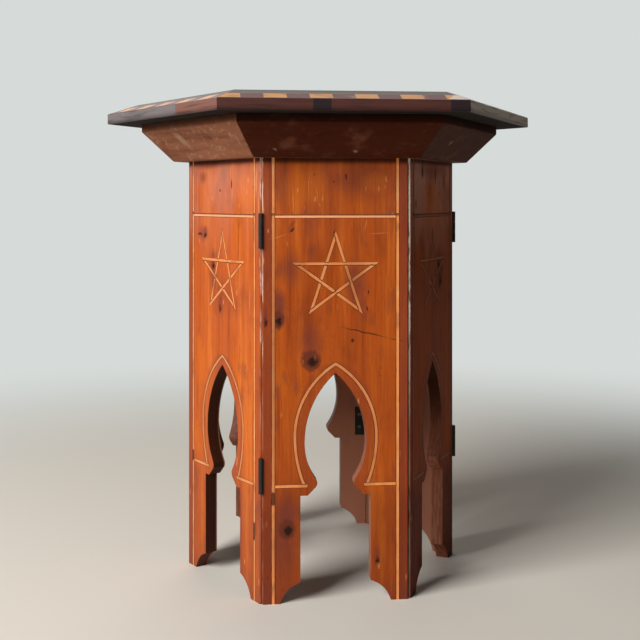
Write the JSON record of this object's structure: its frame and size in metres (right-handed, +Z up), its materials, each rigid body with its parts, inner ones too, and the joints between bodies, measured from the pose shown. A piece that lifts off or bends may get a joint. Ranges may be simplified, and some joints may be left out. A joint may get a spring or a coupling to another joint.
{
  "type": "folding side table",
  "caption": "Six-sided inlaid side table: a lift-off top with a bevelled chequered border and canted apron on arched panels hinged to fold flat like a concertina.",
  "frame": {"origin": "on the floor under the middle of the six-sided base", "axes": "+Z up, front panel faces -Y, a corner of the top points along +X"},
  "size_m": [0.476, 0.4122, 0.5075],
  "materials": {
    "panel_wood": "varnished softwood",
    "string_wood": "varnished pale wood",
    "top_wood": "dark varnished wood",
    "apron_wood": "stained and varnished wood",
    "chequer_light": "varnished pale wood",
    "chequer_dark": "dark varnished wood",
    "bearer_wood": "plain softwood",
    "hinge_iron": "blackened iron",
    "screw_steel": "darkened steel"
  },
  "bodies": {
    "front_panel": {"front_board": "panel_wood", "front_border_strings": "string_wood", "front_arch_string": "string_wood", "front_star": "string_wood", "front_hinge_screws": "screw_steel", "front_right_hinge_fixed_leaves": "hinge_iron", "front_right_hinge_pins": "hinge_iron", "front_left_hinge_fixed_leaves": "hinge_iron", "front_left_hinge_pins": "hinge_iron"},
    "right_front_panel": {"right_front_board": "panel_wood", "right_front_border_strings": "string_wood", "right_front_arch_string": "string_wood", "right_front_star": "string_wood", "right_front_hinge_screws": "screw_steel", "front_right_hinge_moving_leaves": "hinge_iron", "right_hinge_fixed_leaves": "hinge_iron", "right_hinge_pins": "hinge_iron"},
    "right_back_panel": {"right_back_board": "panel_wood", "right_back_border_strings": "string_wood", "right_back_arch_string": "string_wood", "right_back_star": "string_wood", "right_back_hinge_screws": "screw_steel", "right_hinge_moving_leaves": "hinge_iron", "back_right_hinge_fixed_leaves": "hinge_iron", "back_right_hinge_pins": "hinge_iron"},
    "back_panel": {"back_board": "panel_wood", "back_border_strings": "string_wood", "back_arch_string": "string_wood", "back_star": "string_wood", "back_hinge_screws": "screw_steel", "back_right_hinge_moving_leaves": "hinge_iron"},
    "left_back_panel": {"left_back_board": "panel_wood", "left_back_border_strings": "string_wood", "left_back_arch_string": "string_wood", "left_back_star": "string_wood", "left_back_hinge_screws": "screw_steel", "left_hinge_moving_leaves": "hinge_iron"},
    "left_front_panel": {"left_front_board": "panel_wood", "left_front_border_strings": "string_wood", "left_front_arch_string": "string_wood", "left_front_star": "string_wood", "left_front_hinge_screws": "screw_steel", "left_hinge_fixed_leaves": "hinge_iron", "left_hinge_pins": "hinge_iron", "front_left_hinge_moving_leaves": "hinge_iron"},
    "top": {"top_board": "top_wood", "rim_lippings": "top_wood", "chequer_light_blocks": "chequer_light", "chequer_dark_blocks": "chequer_dark", "field_strings": "string_wood", "field_star": "string_wood", "front_apron": "apron_wood", "right_front_apron": "apron_wood", "right_back_apron": "apron_wood", "back_apron": "apron_wood", "left_back_apron": "apron_wood", "left_front_apron": "apron_wood", "bearers": "bearer_wood", "locating_blocks": "bearer_wood"}
  },
  "joints": [
    {"name": "right_front_fold", "type": "hinge", "parent": "front_panel", "child": "right_front_panel", "pos_m": [0.06669, -0.1155, 0.2], "axis": [0, 0, 1], "range_deg": [0, 120]},
    {"name": "right_back_fold", "type": "hinge", "parent": "right_front_panel", "child": "right_back_panel", "pos_m": [0.15046, 0, 0.2], "axis": [0, 0, 1], "range_deg": [-240, 0]},
    {"name": "back_fold", "type": "hinge", "parent": "right_back_panel", "child": "back_panel", "pos_m": [0.06669, 0.1155, 0.2], "axis": [0, 0, 1], "range_deg": [0, 120]},
    {"name": "left_front_fold", "type": "hinge", "parent": "front_panel", "child": "left_front_panel", "pos_m": [-0.07523, -0.1303, 0.2], "axis": [0, 0, 1], "range_deg": [0, 240]},
    {"name": "left_back_fold", "type": "hinge", "parent": "left_front_panel", "child": "left_back_panel", "pos_m": [-0.13337, 0, 0.2], "axis": [0, 0, 1], "range_deg": [-120, 0]},
    {"name": "top_lift", "type": "slide", "parent": "front_panel", "child": "top", "axis": [0, 0, 1], "range_m": [0, 0.21]}
  ],
  "couplings": [
    {"joint": "right_back_fold", "follows": "right_front_fold", "ratio": -2},
    {"joint": "back_fold", "follows": "right_front_fold", "ratio": 1},
    {"joint": "left_front_fold", "follows": "right_front_fold", "ratio": 2},
    {"joint": "left_back_fold", "follows": "right_front_fold", "ratio": -1},
    {"joint": "top_lift", "follows": "right_front_fold", "m_per_rad": 0.1}
  ]
}
